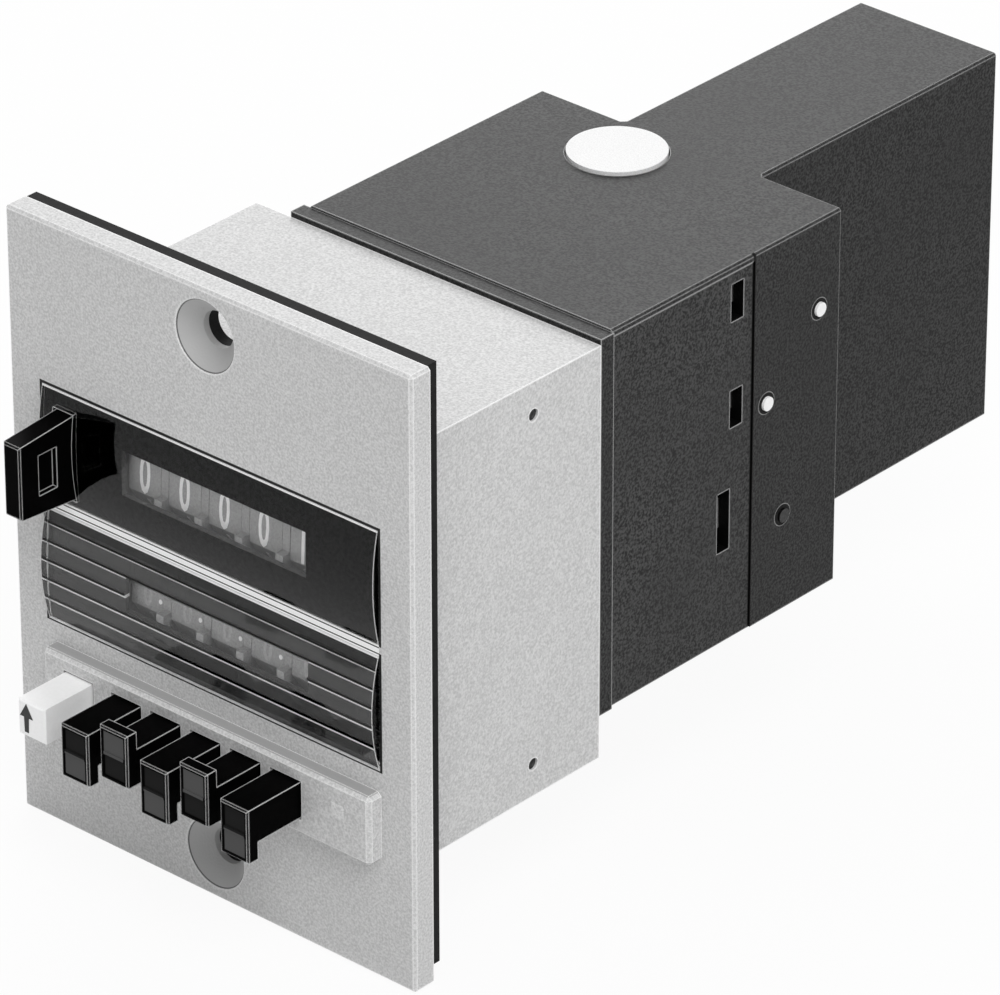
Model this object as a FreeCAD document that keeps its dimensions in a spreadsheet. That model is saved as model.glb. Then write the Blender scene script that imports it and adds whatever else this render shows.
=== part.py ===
import FreeCAD, Part
import math
import os
from types import SimpleNamespace
from FreeCAD import Placement, Rotation, Vector
import Sketcher

# Pneumatic preset timer for panel mounting.
# +X is to the right seen from the front, +Y runs into the panel, +Z is up.
# The origin is midway between the two panel screws, on the face that meets the panel.

SIZES = {
    # Front plate, gasket and panel screws
    "plate_width": 60.0,
    "plate_height": 76.5,
    "plate_thick": 3.0,
    "plate_edge": 0.35,
    "gasket_width": 59.0,
    "gasket_height": 74.5,
    "gasket_thick": 1.5,
    "gasket_raise": 1.0,
    "gasket_gap": 0.3,
    "screw_spacing": 65.0,
    "screw_hole": 4.4,
    "screw_sink": 8.8,
    # Sleeve behind the plate
    "sleeve_width": 51.4,
    "sleeve_height": 52.1,
    "sleeve_raise": 0.45,
    "sleeve_back": 30.75,
    "sleeve_wall": 1.6,
    "pin_back": 19.7,
    "pin_margin": 4.1,
    "pin_thick": 1.5,
    "pin_sink": 0.3,
    # Windows, lenses and masks
    "window_width": 50.1,
    "display_top": 18.0,
    "display_height": 14.1,
    "window_bar": 1.35,
    "preset_height": 14.4,
    "lens_rim": 0.5,
    "lens_gap": 0.08,
    "display_bulge": 0.8,
    "preset_bulge": 1.15,
    "mask_thick": 0.8,
    "mask_ledge": 0.9,
    "view_width": 27.5,
    "display_view": 5.5,
    "preset_view": 4.1,
    "rib_pitch": 2.35,
    "rib_width": 0.36,
    "rib_proud": 0.2,
    # Raised key strip
    "bezel_width": 49.6,
    "bezel_height": 8.7,
    "bezel_shift": 0.4,
    "bezel_mid": -18.78,
    "bezel_proud": 2.0,
    "bezel_edge": 0.5,
    "bezel_inset": 1.3,
    "bezel_spigot": 2.4,
    "slot_gap": 0.25,
    # Setting keys and release key
    "key_pitch": 6.05,
    "train_middle": 0.7,
    "key_width": 4.2,
    "key_arm": 4.5,
    "key_mid": -18.68,
    "key_reach": 8.25,
    "key_tab": 1.6,
    "key_drop": 2.2,
    "key_edge": 0.22,
    "key_stroke": 4.0,
    "field_rim": 0.45,
    "field_deep": 0.22,
    "field_shallow": 0.1,
    "collar_size": 5.6,
    "collar_thick": 1.2,
    "stem_size": 3.0,
    "stem_back": 9.0,
    "pawl_front": 1.0,
    "pawl_thick": 1.8,
    "pawl_gap": 0.4,
    "release_middle": -18.75,
    "release_reach": 7.5,
    # Reset button
    "reset_middle": -21.5,
    "reset_thick": 2.55,
    "reset_reach": 8.55,
    "reset_mid": 10.3,
    "reset_tall": 9.1,
    "reset_root": 10.5,
    "reset_lug": 1.15,
    "reset_tail": 2.5,
    "pocket_front": 2.9,
    "pocket_width": 2.8,
    "pocket_tall": 5.0,
    "pocket_deep": 0.7,
    # Number wheels and their gears
    "display_mid": 11.0,
    "preset_mid": -4.35,
    "wheel_gap": 1.1,
    "counter_radius": 9.0,
    "preset_radius": 6.1,
    "rim_width": 4.8,
    "rim_wall": 1.3,
    "web_thick": 1.2,
    "hub_radius": 2.6,
    "shaft_radius": 1.5,
    "running_gap": 0.05,
    "gear_thick": 0.6,
    "carry_thick": 0.45,
    "carry_root": 5.4,
    "carry_width": 1.4,
    "carry_angle": 45.0,
    "pitch_radius": 7.5,
    "tooth_root": 6.7,
    "tooth_tip": 8.05,
    "tooth_gap_root": 0.56,
    "tooth_gap_tip": 2.08,
    "ratchet_depth": 1.3,
    "pinion_root": 2.0,
    "pinion_tip": 3.5,
    "pinion_gap_root": 0.4,
    "pinion_gap_tip": 2.5,
    "pinion_clear": 0.2,
    "mesh_angle": 9.8,
    # Mechanism frame
    "side_gap": 0.15,
    "side_thick": 0.9,
    "side_front": 1.0,
    "side_trim": 1.0,
    "middle_right": -14.6,
    "back_thick": 1.2,
    "back_set": 0.15,
    "guide_gap": 1.1,
    "guide_thick": 2.0,
    # Rockers and springs
    "comb_back": 14.5,
    "comb_height": 21.8,
    "comb_arm": 13.0,
    "comb_finger": 7.0,
    "comb_lift": 1.5,
    "rocker_height": -8.0,
    "rocker_arm": 10.7,
    "rocker_finger": 4.8,
    "bar_half": 1.7,
    "bar_swing": 2.6,
    "pin_radius": 0.9,
    "arm_half": 1.3,
    "arm_width": 2.2,
    "arm_gap": 0.35,
    "finger_thick": 0.8,
    "finger_width": 2.0,
    "leaf_thick": 0.4,
    "leaf_foot": 6.0,
    "release_foot": -21.0,
    # Stepping drive
    "drive_hub": 2.5,
    "lever_middle": 19.3,
    "lever_thick": 1.2,
    "lever_arm": 7.6,
    "lever_reach": 7.2,
    "rod_radius": 1.1,
    "piston_radius": 2.9,
    "piston_thick": 3.0,
    "cylinder_wall": 1.1,
    "cylinder_back": 51.0,
    "cylinder_cap": 1.5,
    "drive_stroke": 3.0,
    "return_room": 7.0,
    # Rear flange and case
    "flange_left": 20.4,
    "flange_bottom": 20.25,
    "flange_top": 27.2,
    "flange_thick": 2.15,
    "flange_frame": 4.0,
    "case_left": 19.5,
    "case_right": 25.4,
    "case_bottom": 20.2,
    "case_top": 27.45,
    "case_back": 72.1,
    "case_wall": 1.8,
    "case_edge": 0.3,
    "cover_back": 57.0,
    "cover_drop": 0.9,
    "cover_inset": 0.15,
    "cover_gap": 0.12,
    "cover_thick": 1.5,
    "block_left": 7.05,
    "block_right": 13.55,
    "block_back": 114.55,
    "floor_thick": 1.6,
    "seat_gap": 0.1,
    "slot_width": 2.1,
    "slot_margin": 1.75,
    "slot_shift": 1.95,
    "slot_tall": 4.7,
    "top_slot_low": 20.3,
    "middle_slot_low": 6.9,
    "bottom_slot_low": -8.4,
    "bottom_slot_tall": 7.6,
    # Valve, filter, plugs and ports
    "disc_middle": -2.47,
    "disc_back": 65.7,
    "disc_radius": 5.85,
    "disc_proud": 0.4,
    "disc_gap": 0.15,
    "plug_hole": 1.3,
    "plug_radius": 0.85,
    "plug_length": 2.25,
    "upper_plug_back": 68.3,
    "upper_plug_height": 16.15,
    "lower_plug_back": 59.3,
    "lower_plug_height": 7.74,
    "throttle_back": 62.45,
    "throttle_height": -7.87,
    "valve_left": 9.0,
    "valve_front": 58.0,
    "valve_back": 69.8,
    "port_corner": 3.9,
    "port_bore": 2.1,
    "port_depth": 6.0,
    "port_pitch": 11.0,
    "port_middle": 7.0,
    "spool_radius": 2.5,
    "spool_height": 5.0,
    "spool_stroke": 2.0,
    "trip_radius": 1.0,
    "trip_front": 24.0,
    "chamber_half": 7.9,
    "chamber_wall": 1.5,
    "chamber_back": 107.0,
    "neck_radius": 3.0,
    "neck_length": 4.2,
    "tongue_thick": 1.4,
}

KEYS = range(1, 6)
RIBS = 5
NUMBERS = 10
GEAR_TEETH = 20
PINION_TEETH = 8
HEXAGON = 6
# Teeth of the counter wheel between its pinion and its drive wheel
DRIVE_OFFSET = 3

doc = FreeCAD.newDocument("panel_timer")
sheet = doc.addObject("Spreadsheet::Sheet", "Sizes")
for row, (alias, value) in enumerate(SIZES.items(), start=1):
    sheet.set(f"A{row}", alias)
    sheet.set(f"B{row}", str(value))
    sheet.setAlias(f"B{row}", alias)
doc.recompute()


class Size:
    """A length worked out from the sheet: the formula for it, and its value now."""

    def __init__(self, formula, value):
        self.formula = formula
        self.value = value

    def __add__(self, other):
        other = size(other)
        return Size(f"({self.formula} + {other.formula})", self.value + other.value)

    def __sub__(self, other):
        other = size(other)
        return Size(f"({self.formula} - {other.formula})", self.value - other.value)

    def __mul__(self, other):
        other = size(other)
        return Size(f"({self.formula} * {other.formula})", self.value * other.value)

    def __truediv__(self, other):
        other = size(other)
        return Size(f"({self.formula} / {other.formula})", self.value / other.value)

    def __neg__(self):
        return Size(f"(0 - {self.formula})", -self.value)

    def __radd__(self, other):
        return size(other) + self

    def __rsub__(self, other):
        return size(other) - self

    def __rmul__(self, other):
        return size(other) * self


def size(value):
    return value if isinstance(value, Size) else Size(f"({float(value)})", float(value))


def cosine(angle):
    return Size(f"cos({angle.formula})", math.cos(math.radians(angle.value)))


def sine(angle):
    return Size(f"sin({angle.formula})", math.sin(math.radians(angle.value)))


s = SimpleNamespace(**{alias: Size(f"Sizes.{alias}", value) for alias, value in SIZES.items()})
NODES = []
AXES = {"x": Vector(1, 0, 0), "y": Vector(0, 1, 0), "z": Vector(0, 0, 1)}
# The origin plane square to each axis, and whether its normal points along that axis
PLANES = {"x": ("YZ_Plane", True), "y": ("XZ_Plane", False), "z": ("XY_Plane", True)}


def bind(made, target, value):
    made.setExpression(target, size(value).formula)


def node(made):
    made.Label = made.Name
    NODES.append(made)
    return made


def around(middle, width):
    return middle - width / 2, middle + width / 2


def move(made, x=0, y=0, z=0):
    for axis, value in zip("xyz", (x, y, z)):
        bind(made, f"Placement.Base.{axis}", value)
    return made


# Primitives and booleans

def box(name, x, y, z):
    """A block between a low and a high value along each axis."""
    made = doc.addObject("Part::Box", name)
    for axis, side, (low, high) in zip("xyz", ("Length", "Width", "Height"), (x, y, z)):
        bind(made, side, high - low)
        bind(made, f"Placement.Base.{axis}", low)
    return made


def rod(name, axis, radius, low, high, centre):
    """A round bar along one axis, centred on two values along the other two."""
    turns = {"x": Rotation(AXES["y"], 90), "y": Rotation(AXES["x"], -90), "z": Rotation()}
    made = doc.addObject("Part::Cylinder", name)
    made.Placement = Placement(Vector(), turns[axis])
    bind(made, "Radius", radius)
    bind(made, "Height", high - low)
    others = iter(centre)
    for name_of_axis in "xyz":
        bind(made, f"Placement.Base.{name_of_axis}", low if name_of_axis == axis else next(others))
    return made


def joined(kind, name, members):
    made = doc.addObject(f"Part::{kind}", name)
    made.Shapes = members
    return made


def cut(name, base, tools):
    made = doc.addObject("Part::Cut", name)
    made.Base = base
    made.Tool = tools[0] if len(tools) == 1 else joined("MultiFuse", f"{name}_tools", tools)
    return made


def fuse(name, members):
    return joined("MultiFuse", name, members)


# Sketched bodies

def body(name):
    return doc.addObject("PartDesign::Body", name)


def sketch(made, name, axis, low, loops, circles=()):
    """A sketch square to an axis at the value low: closed loops of points, and circles."""
    role, along = PLANES[axis]
    drawn = made.newObject("Sketcher::SketchObject", name)
    drawn.AttachmentSupport = [(next(o for o in made.Origin.OriginFeatures if o.Role == role), "")]
    drawn.MapMode = "FlatFace"
    bind(drawn, "AttachmentOffset.Base.z", low if along else -size(low))
    for points in loops:
        first = drawn.GeometryCount
        places = [Vector(size(u).value, size(v).value, 0) for u, v in points]
        for start, end in zip(places, places[1:] + places[:1]):
            drawn.addGeometry(Part.LineSegment(start, end), False)
        for index, (u, v) in enumerate(points):
            before = first + (index - 1) % len(points)
            drawn.addConstraint(Sketcher.Constraint("Coincident", before, 2, first + index, 1))
            pin(drawn, first + index, 1, u, v)
    for u, v, radius in circles:
        place = Vector(size(u).value, size(v).value, 0)
        index = drawn.addGeometry(Part.Circle(place, AXES["z"], size(radius).value), False)
        pin(drawn, index, 3, u, v)
        held = drawn.addConstraint(Sketcher.Constraint("Radius", index, size(radius).value))
        bind(drawn, f"Constraints[{held}]", radius)
    return drawn


def pin(drawn, index, point, u, v):
    """Holds a point of a sketch at two values, measured from the sketch's origin."""
    for kind, value in (("DistanceX", u), ("DistanceY", v)):
        rule = Sketcher.Constraint(kind, -1, 1, index, point, size(value).value)
        bind(drawn, f"Constraints[{drawn.addConstraint(rule)}]", value)


def pad(made, name, axis, low, high, loops=(), circles=()):
    """Adds material between two values along an axis."""
    drawn = sketch(made, f"{name}_sketch", axis, low, loops, circles)
    added = made.newObject("PartDesign::Pad", name)
    added.Profile = drawn
    added.Reversed = not PLANES[axis][1]
    bind(added, "Length", high - low)
    return added


def pocket(made, name, axis, low, high, loops=(), circles=()):
    """Cuts material away between two values along an axis."""
    doc.recompute()
    before = made.Shape.Volume
    drawn = sketch(made, f"{name}_sketch", axis, low, loops, circles)
    taken = made.newObject("PartDesign::Pocket", name)
    taken.Profile = drawn
    taken.Reversed = PLANES[axis][1]
    bind(taken, "Length", high - low)
    doc.recompute()
    if not made.Shape.Volume < before:
        raise ValueError(f"{name} cuts nothing")
    return taken


def repeat(made, name, feature, count):
    """Repeats a feature evenly round the X axis."""
    pattern = made.newObject("PartDesign::PolarPattern", name)
    pattern.Originals = [feature]
    pattern.Axis = (next(o for o in made.Origin.OriginFeatures if o.Role == "X_Axis"), [""])
    pattern.Angle = 360
    pattern.Occurrences = count
    made.Tip = pattern
    return pattern


def bevel(made, name, amount, test):
    """Bevels the edges of a body whose bounding boxes pass a test."""
    doc.recompute()
    tip = made.Tip
    chosen = [f"Edge{k}" for k, edge in enumerate(tip.Shape.Edges, start=1) if test(edge.BoundBox)]
    bevelled = made.newObject("PartDesign::Chamfer", name)
    bevelled.Base = (tip, chosen)
    bind(bevelled, "Size", amount)
    return bevelled


def turned(angle, points):
    """Points turned about the origin by an angle in degrees."""
    along = cosine(size(angle))
    across = sine(size(angle))
    return [(u * along - v * across, u * across + v * along) for u, v in points]


def polygon(sides, corner, start, middle=(0, 0)):
    """A regular outline with its corners at a radius, the first of them at the angle start."""
    corners = [turned(start + 360 / sides * k, [(corner, size(0))])[0] for k in range(sides)]
    return [(middle[0] + u, middle[1] + v) for u, v in corners]


def rectangle(u, v):
    return [(u[0], v[0]), (u[1], v[0]), (u[1], v[1]), (u[0], v[1])]


def grown(span, gap):
    return span[0] - gap, span[1] + gap


def near(first, second):
    return abs(first - size(second).value) < 0.001


# Places that several sub-parts share
front = -(s.plate_thick + s.gasket_thick)
plate_rear = -s.gasket_thick
bezel_front = front - s.bezel_proud
spigot_rear = front + s.bezel_spigot
mask_front = front + s.lens_rim
mask_rear = mask_front + s.mask_thick
wheel_front = mask_rear + s.wheel_gap
sleeve_x = around(size(0), s.sleeve_width)
sleeve_z = around(s.sleeve_raise, s.sleeve_height)
inner_x = grown(sleeve_x, -s.sleeve_wall)
inner_z = grown(sleeve_z, -s.sleeve_wall)
window_x = around(size(0), s.window_width)
display_z = (s.display_top - s.display_height, s.display_top)
preset_top = s.display_top - s.display_height - s.window_bar
preset_z = (preset_top - s.preset_height, preset_top)
bezel_x = around(s.bezel_shift, s.bezel_width)
bezel_z = around(s.bezel_mid, s.bezel_height)
half_number = 180 / NUMBERS
flat_share = cosine(size(half_number))
counter_back = wheel_front + s.counter_radius * flat_share
preset_back = wheel_front + s.preset_radius * flat_share
wheel_x = {k: s.train_middle + s.key_pitch * (k - 3) for k in KEYS}
reset_x = around(s.reset_middle, s.reset_thick)
reset_z = around(s.reset_mid, s.reset_root)
bore = s.shaft_radius + s.running_gap
half_rim = s.rim_width / 2
side_x = grown(inner_x, -s.side_gap)
left_x = (side_x[0], side_x[0] + s.side_thick)
right_x = (side_x[1] - s.side_thick, side_x[1])
middle_x = (s.middle_right - s.side_thick, s.middle_right)
back_y = (s.sleeve_back - s.back_set - s.back_thick, s.sleeve_back - s.back_set)
side_z = (inner_z[0] + s.side_trim, inner_z[1] - s.side_trim)
stem_z = around(s.key_mid, s.stem_size)
guide_top = stem_z[1] - s.pinion_clear
gear_distance = s.pitch_radius + s.pitch_radius * (PINION_TEETH / GEAR_TEETH)
pinion_y = counter_back + gear_distance * cosine(s.mesh_angle)
pinion_z = s.display_mid + gear_distance * sine(s.mesh_angle)
tooth_angle = 360 / GEAR_TEETH
drive_angle = s.mesh_angle - DRIVE_OFFSET * tooth_angle
drive_y = counter_back + 2 * s.pitch_radius * cosine(drive_angle)
drive_z = s.display_mid + 2 * s.pitch_radius * sine(drive_angle)
flange_y = (s.sleeve_back, s.sleeve_back + s.flange_thick)
case_x = (-s.case_left, s.case_right)
case_z = (-s.case_bottom, s.case_top)
case_y = (flange_y[1], s.case_back)
block_x = (-s.block_left, s.block_right)
floor_z = (-s.case_bottom, -s.case_bottom + s.floor_thick)
valve_y = (s.valve_front, s.valve_back)
valve_middle = (s.valve_front + s.valve_back) / 2
valve_top = s.case_top - s.case_wall - s.seat_gap
spool_x = s.train_middle

# Front housing: plate and sleeve in one moulding, with recesses for the windows and the key strip
housing = body("front_housing")
plate_x = around(size(0), s.plate_width)
plate_z = around(size(0), s.plate_height)
pad(housing, "plate", "y", front, plate_rear, [rectangle(plate_x, plate_z)])
bevel(
    housing,
    "plate_bevel",
    s.plate_edge,
    lambda b: near(b.YMin, front) or (near(b.XLength, 0) and near(b.ZLength, 0)),
)
pad(
    housing,
    "sleeve",
    "y",
    plate_rear,
    s.sleeve_back,
    [rectangle(sleeve_x, sleeve_z), rectangle(inner_x, inner_z)],
)
pocket(
    housing,
    "window_recesses",
    "y",
    front,
    mask_rear,
    [rectangle(window_x, display_z), rectangle(window_x, preset_z)],
)
pocket(
    housing,
    "window_openings",
    "y",
    front,
    plate_rear,
    [
        rectangle(grown(window_x, -s.mask_ledge), grown(display_z, -s.mask_ledge)),
        rectangle(grown(window_x, -s.mask_ledge), grown(preset_z, -s.mask_ledge)),
    ],
)
spigot_x = grown(bezel_x, -s.bezel_inset)
spigot_z = grown(bezel_z, -s.bezel_inset)
pocket(
    housing,
    "key_opening",
    "y",
    front,
    plate_rear,
    [rectangle(grown(spigot_x, s.lens_gap), grown(spigot_z, s.lens_gap))],
)
pocket(
    housing,
    "screw_holes",
    "y",
    front,
    plate_rear,
    circles=[(0, side * s.screw_spacing / 2, s.screw_hole / 2) for side in (-1, 1)],
)
bevel(
    housing,
    "screw_sinks",
    (s.screw_sink - s.screw_hole) / 2,
    lambda b: near(b.YMax, front) and near(b.XLength, s.screw_hole) and near(b.ZLength, s.screw_hole),
)
pin_z = (sleeve_z[0] + s.pin_margin, sleeve_z[1] - s.pin_margin)
pocket(
    housing,
    "pin_holes",
    "x",
    sleeve_x[0],
    sleeve_x[1],
    circles=[(s.pin_back, height, s.pin_thick / 2) for height in pin_z],
)
node(housing)

# Gasket between the plate and the panel
gasket = body("panel_gasket")
pad(
    gasket,
    "gasket_frame",
    "y",
    plate_rear,
    size(0),
    [
        rectangle(around(size(0), s.gasket_width), around(s.gasket_raise, s.gasket_height)),
        rectangle(grown(sleeve_x, s.gasket_gap), grown(sleeve_z, s.gasket_gap)),
    ],
    [(0, side * s.screw_spacing / 2, s.screw_hole / 2) for side in (-1, 1)],
)
node(gasket)


# Convex window lenses, flat behind, each seated in its recess in front of its mask
def lens(name, span, bulge):
    across = grown(span, -s.lens_gap)
    half = (across[1] - across[0]) / 2
    radius = (half * half + bulge * bulge) / (2 * bulge)
    reach = grown(window_x, -s.lens_gap)
    blank = box(f"{name}_blank", reach, (front - bulge, mask_front), across)
    centre = (front - bulge + radius, (span[0] + span[1]) / 2)
    curve = rod(f"{name}_curve", "x", radius, reach[0], reach[1], centre)
    return joined("MultiCommon", name, [blank, curve])


def reset_slot(name, y):
    return box(name, grown(reset_x, s.slot_gap), y, grown(reset_z, s.slot_gap))


lens_slot = reset_slot("lens_slot", (front - 2 * s.display_bulge, mask_front))
node(cut("display_lens", lens("display_glass", display_z, s.display_bulge), [lens_slot]))
node(lens("preset_lens", preset_z, s.preset_bulge))

# Masks behind the lenses, with a view of the number wheels
view_x = around(s.train_middle, s.view_width)
mask_x = grown(window_x, -s.lens_gap)
display_view_z = around(s.display_mid, s.display_view)
preset_view_z = around(s.preset_mid, s.preset_view)
display_sheet = box("display_sheet", mask_x, (mask_front, mask_rear), grown(display_z, -s.lens_gap))
display_view = box("display_view_hole", view_x, (mask_front, mask_rear), display_view_z)
mask_slot = reset_slot("mask_slot", (mask_front, mask_rear))
node(cut("display_mask", display_sheet, [display_view, mask_slot]))
sheet_front = mask_front + s.rib_proud
preset_sheet = box("preset_sheet", mask_x, (sheet_front, mask_rear), grown(preset_z, -s.lens_gap))
ribs = [
    box(
        f"mask_rib_{k + 1}",
        mask_x,
        (mask_front, sheet_front),
        around(s.preset_mid + s.rib_pitch * (k - (RIBS - 1) / 2), s.rib_width),
    )
    for k in range(RIBS)
]
preset_view = box("preset_view_hole", view_x, (mask_front, mask_rear), preset_view_z)
node(cut("preset_mask", fuse("ribbed_sheet", [preset_sheet] + ribs), [preset_view]))

# Raised key strip with a spigot through the plate and a slot for each key
bezel = body("key_bezel")
pad(bezel, "strip", "y", bezel_front, front, [rectangle(bezel_x, bezel_z)])
bevel(
    bezel,
    "strip_bevel",
    s.bezel_edge,
    lambda b: near(b.YMax, bezel_front) or (near(b.XLength, 0) and near(b.ZLength, 0)),
)
pad(bezel, "spigot", "y", front, spigot_rear, [rectangle(spigot_x, spigot_z)])
key_middles = [s.release_middle] + [wheel_x[k] for k in KEYS]
arm_z = around(s.key_mid, s.key_arm)
pocket(
    bezel,
    "key_slots",
    "y",
    bezel_front,
    spigot_rear,
    [rectangle(grown(around(x, s.key_width), s.slot_gap), grown(arm_z, s.slot_gap)) for x in key_middles],
)
node(bezel)


# Keys: an arm through the strip, a collar behind it and a stem back to the mechanism
def key(name, key_front, tab_side, stem_rear):
    """A key about its own middle; tab_side is 1 with the tab above the arm, -1 below, 0 without."""
    made = body(name)
    half = s.key_arm / 2
    collar_y = (spigot_rear + s.seat_gap, spigot_rear + s.seat_gap + s.collar_thick)
    tab_rear = key_front + s.key_tab
    outline = [
        (key_front, tab_side * (half + s.key_drop)),
        (tab_rear, tab_side * (half + s.key_drop)),
        (tab_rear, tab_side * half),
        (collar_y[0], tab_side * half),
        (collar_y[0], -tab_side * half),
        (key_front, -tab_side * half),
    ]
    if tab_side == 0:
        outline = rectangle((key_front, collar_y[0]), (-half, half))
    across = around(size(0), s.key_width)
    pad(made, f"{name}_arm", "x", across[0], across[1], [outline])
    bevel(made, f"{name}_bevel", s.key_edge, lambda b: near(b.YMax, key_front))
    collar = around(size(0), s.collar_size)
    pad(made, f"{name}_collar", "y", collar_y[0], collar_y[1], [rectangle(collar, collar)])
    stem = around(size(0), s.stem_size)
    pad(made, f"{name}_stem", "y", collar_y[1], stem_rear, [rectangle(stem, stem)])
    return made


def fields(made, name, key_front, tab_side):
    """Two shallow fields on a key's front: a deep one on the arm, a shallow one on the tab's side."""
    across = grown(around(size(0), s.key_width), -s.field_rim)
    half = s.key_arm / 2
    far = tab_side * (half + s.key_drop - s.field_rim)
    middle = tab_side * s.key_drop / 2
    gap = tab_side * s.field_rim / 2
    ends = {
        "deep": (s.field_deep, -tab_side * (half - s.field_rim), middle - gap),
        "shallow": (s.field_shallow, middle + gap, far),
    }
    for field, (depth, low, high) in ends.items():
        pocket(made, f"{name}_{field}", "y", key_front, key_front + depth, [rectangle(across, (low, high))])


key_front = bezel_front - s.key_reach
pawl_top = s.preset_mid - s.preset_radius - s.pawl_gap - s.key_mid
pawl_y = (s.pawl_front, s.pawl_front + s.pawl_thick)
for k in KEYS:
    tab_side = -1 if k % 2 else 1
    setting = key(f"setting_key_{k}", key_front, tab_side, s.stem_back)
    pawl = [
        (pawl_y[0], s.stem_size / 2),
        (pawl_y[1], s.stem_size / 2),
        (pawl_y[1], pawl_top),
        (pawl_y[0] + s.pawl_thick / 2, pawl_top),
        (pawl_y[0], pawl_top - s.pawl_thick),
    ]
    pad(setting, f"key_pawl_{k}", "x", -s.stem_size / 2, s.stem_size / 2, [pawl])
    fields(setting, f"key_field_{k}", key_front, tab_side)
    node(move(setting, x=wheel_x[k], z=s.key_mid))

release_rear = s.comb_back - s.arm_half - s.arm_gap
release = key("release_key", bezel_front - s.release_reach, 0, release_rear)
node(move(release, x=s.release_middle, z=s.key_mid))

# Reset button: flat, flared towards its root, with a lug behind the mask and a tail to the comb
reset = body("reset_button")
reset_front = front - s.reset_reach
lug_y = (mask_rear + s.seat_gap, mask_rear + s.seat_gap + s.collar_thick)
tip_z = around(s.reset_mid, s.reset_tall)
tail_z = (s.reset_mid - s.reset_tail, s.reset_mid)
reset_outline = [
    (reset_front, tip_z[0]),
    (front, reset_z[0]),
    (lug_y[1], reset_z[0]),
    (lug_y[1], tail_z[0]),
    (release_rear, tail_z[0]),
    (release_rear, tail_z[1]),
    (lug_y[1], tail_z[1]),
    (lug_y[1], reset_z[1] + s.reset_lug),
    (lug_y[0], reset_z[1] + s.reset_lug),
    (lug_y[0], reset_z[1]),
    (front, reset_z[1]),
    (reset_front, tip_z[1]),
]
pad(reset, "button", "x", reset_x[0], reset_x[1], [reset_outline])
bevel(reset, "button_bevel", s.key_edge, lambda b: near(b.YMax, reset_front))
pocket_y = (reset_front + s.pocket_front, reset_front + s.pocket_front + s.pocket_width)
pocket_z = around(s.reset_mid, s.pocket_tall)
pocket(reset, "side_pocket", "x", reset_x[1] - s.pocket_deep, reset_x[1], [rectangle(pocket_y, pocket_z)])
node(reset)


# Number wheels and gears, each turning about its own X axis
def gear(made, name, count, x, radii, gaps, start):
    """Straight-sided teeth: root and tip radii, widths of a gap at both, and one gap's angle."""
    root, tip = radii
    corner = tip / cosine(size(180 / count))
    reach = corner + s.pinion_clear
    gap = [(root, -gaps[0] / 2), (reach, -gaps[1] / 2), (reach, gaps[1] / 2), (root, gaps[0] / 2)]
    pad(made, f"{name}_disc", "x", x[0], x[1], [polygon(count, corner, start)])
    cut_gap = pocket(made, f"{name}_gap", "x", x[0], x[1], [turned(start, gap)])
    repeat(made, f"{name}_gaps", cut_gap, count)


def saw(made, name, x, tip):
    """Ten ratchet teeth, each with a radial face and a long slope."""
    outline = []
    for k in range(NUMBERS):
        outline += turned(2 * half_number * k, [(tip - s.ratchet_depth, size(0)), (tip, size(0))])
    pad(made, name, "x", x[0], x[1], [outline])


def wheel(name, radius):
    """A cupped wheel with a flat for each number, one of them towards the front."""
    made = body(name)
    outside, inside, middle = [
        polygon(NUMBERS, radius - inset, half_number) for inset in (0, s.rim_wall, s.rim_wall / 2)
    ]
    pad(made, f"{name}_rim", "x", -half_rim, half_rim, [outside, inside])
    pad(made, f"{name}_web", "x", half_rim - s.web_thick, half_rim, [middle])
    pad(made, f"{name}_hub", "x", hub_left, half_rim, [polygon(NUMBERS, s.hub_radius, half_number)])
    return made


def drilled(made, x):
    pocket(made, f"{made.Name}_bore", "x", x[0], x[1], circles=[(0, 0, bore)])
    return made


hub_left = -half_rim - s.carry_thick
gear_right = half_rim + s.gear_thick
half_tooth = tooth_angle / 2
gear_radii = (s.tooth_root, s.tooth_tip)
gear_gaps = (s.tooth_gap_root, s.tooth_gap_tip)
# Two short carry teeth, which stop before the pinion's teeth
carry_tip = gear_distance - s.pinion_tip - s.pinion_clear
carry_low = s.carry_root - s.carry_width
carry_tooth = [
    (carry_low, -s.carry_width / 2),
    (carry_tip, -s.carry_width / 4),
    (carry_tip, s.carry_width / 4),
    (carry_low, s.carry_width / 2),
]
carry_teeth = [turned(s.mesh_angle + s.carry_angle + side * half_tooth, carry_tooth) for side in (-1, 1)]
ratchet_tip = s.preset_radius * flat_share - s.rim_wall / 2
for k in KEYS:
    counter = wheel(f"counter_wheel_{k}", s.counter_radius)
    gap_angle = s.mesh_angle - half_tooth
    gear(counter, f"counter_{k}", GEAR_TEETH, (half_rim, gear_right), gear_radii, gear_gaps, gap_angle)
    carry_disc = polygon(NUMBERS, s.carry_root, half_number)
    pad(counter, f"carry_disc_{k}", "x", hub_left, -half_rim, [carry_disc])
    pad(counter, f"carry_teeth_{k}", "x", hub_left, -half_rim, carry_teeth)
    drilled(counter, (hub_left, gear_right))
    node(move(counter, x=wheel_x[k], y=counter_back, z=s.display_mid))
    preset = wheel(f"preset_wheel_{k}", s.preset_radius)
    saw(preset, f"preset_saw_{k}", (half_rim, gear_right), ratchet_tip)
    drilled(preset, (hub_left, gear_right))
    node(move(preset, x=wheel_x[k], y=preset_back, z=s.preset_mid))

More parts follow.
